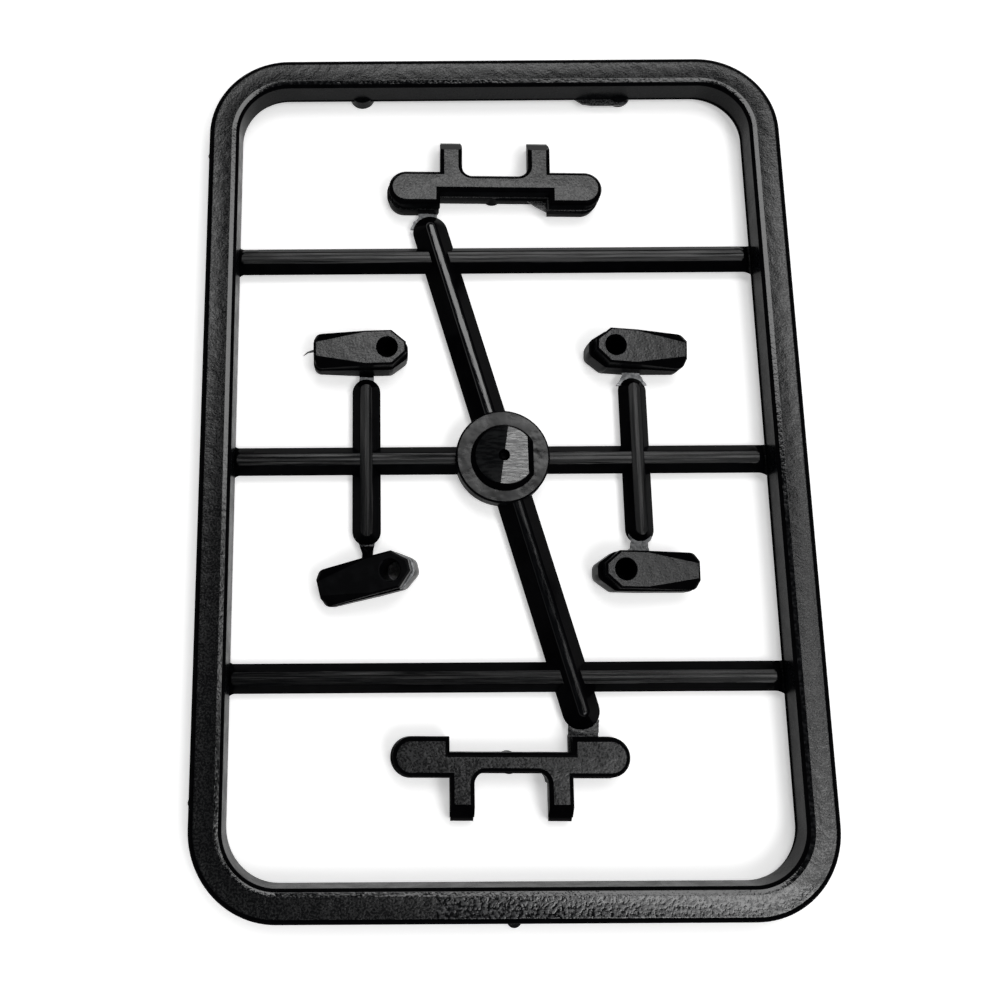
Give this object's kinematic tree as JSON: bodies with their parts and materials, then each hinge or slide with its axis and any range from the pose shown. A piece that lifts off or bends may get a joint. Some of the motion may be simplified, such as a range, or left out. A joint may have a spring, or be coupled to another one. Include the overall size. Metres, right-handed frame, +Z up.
{
  "type": "spring clamp parts tree",
  "caption": "Black moulded parts tree: clamp brackets and clamp levers on a runner inside a rounded rectangular frame, ready to be cut free.",
  "frame": {"origin": "on the rest plane under the middle of the sprue disc, which is the middle of the frame", "axes": "+X across the tree to the right, +Y along its length to the top, +Z up out of the face with the bevelled edges and the cut sprue"},
  "size_m": [0.0906, 0.1303, 0.0076],
  "materials": {
    "tree_plastic": "black moulded plastic, satin, with a fine spark-eroded grain on the flat tops and milling lines on the runners",
    "clamp_plastic": "the same black plastic, fine spark-eroded grain on the top faces and smoother walls",
    "flash_plastic": "the same black plastic in thin gates and flash, paler and uneven where it was stretched or cut"
  },
  "bodies": {
    "root": {"outer_frame": "tree_plastic", "top_runner_left": "tree_plastic", "top_runner_right": "tree_plastic", "middle_runner_left_outer": "tree_plastic", "middle_runner_left_inner": "tree_plastic", "middle_runner_right_inner": "tree_plastic", "middle_runner_right_outer": "tree_plastic", "bottom_runner_left": "tree_plastic", "bottom_runner_right": "tree_plastic", "diagonal_runner_upper": "tree_plastic", "diagonal_runner_lower": "tree_plastic", "branch_runner_left": "tree_plastic", "branch_runner_right": "tree_plastic", "sprue_disc": "tree_plastic", "sprue_stub": "tree_plastic", "clamp_bracket_upper": "clamp_plastic", "clamp_bracket_lower": "clamp_plastic", "clamp_lever_upper_left": "clamp_plastic", "clamp_lever_upper_right": "clamp_plastic", "clamp_lever_lower_left": "clamp_plastic", "clamp_lever_lower_right": "clamp_plastic", "gate_bracket_upper": "flash_plastic", "gate_bracket_lower": "flash_plastic", "gate_lever_upper_left": "flash_plastic", "gate_lever_upper_right": "flash_plastic", "gate_lever_lower_left": "flash_plastic", "gate_lever_lower_right": "flash_plastic", "frame_side_lugs": "tree_plastic", "frame_end_lug": "tree_plastic", "frame_inner_lugs": "tree_plastic", "frame_flash_tongue": "flash_plastic", "bracket_corner_web": "flash_plastic", "lever_flash_whisker": "flash_plastic"}
  },
  "joints": []
}
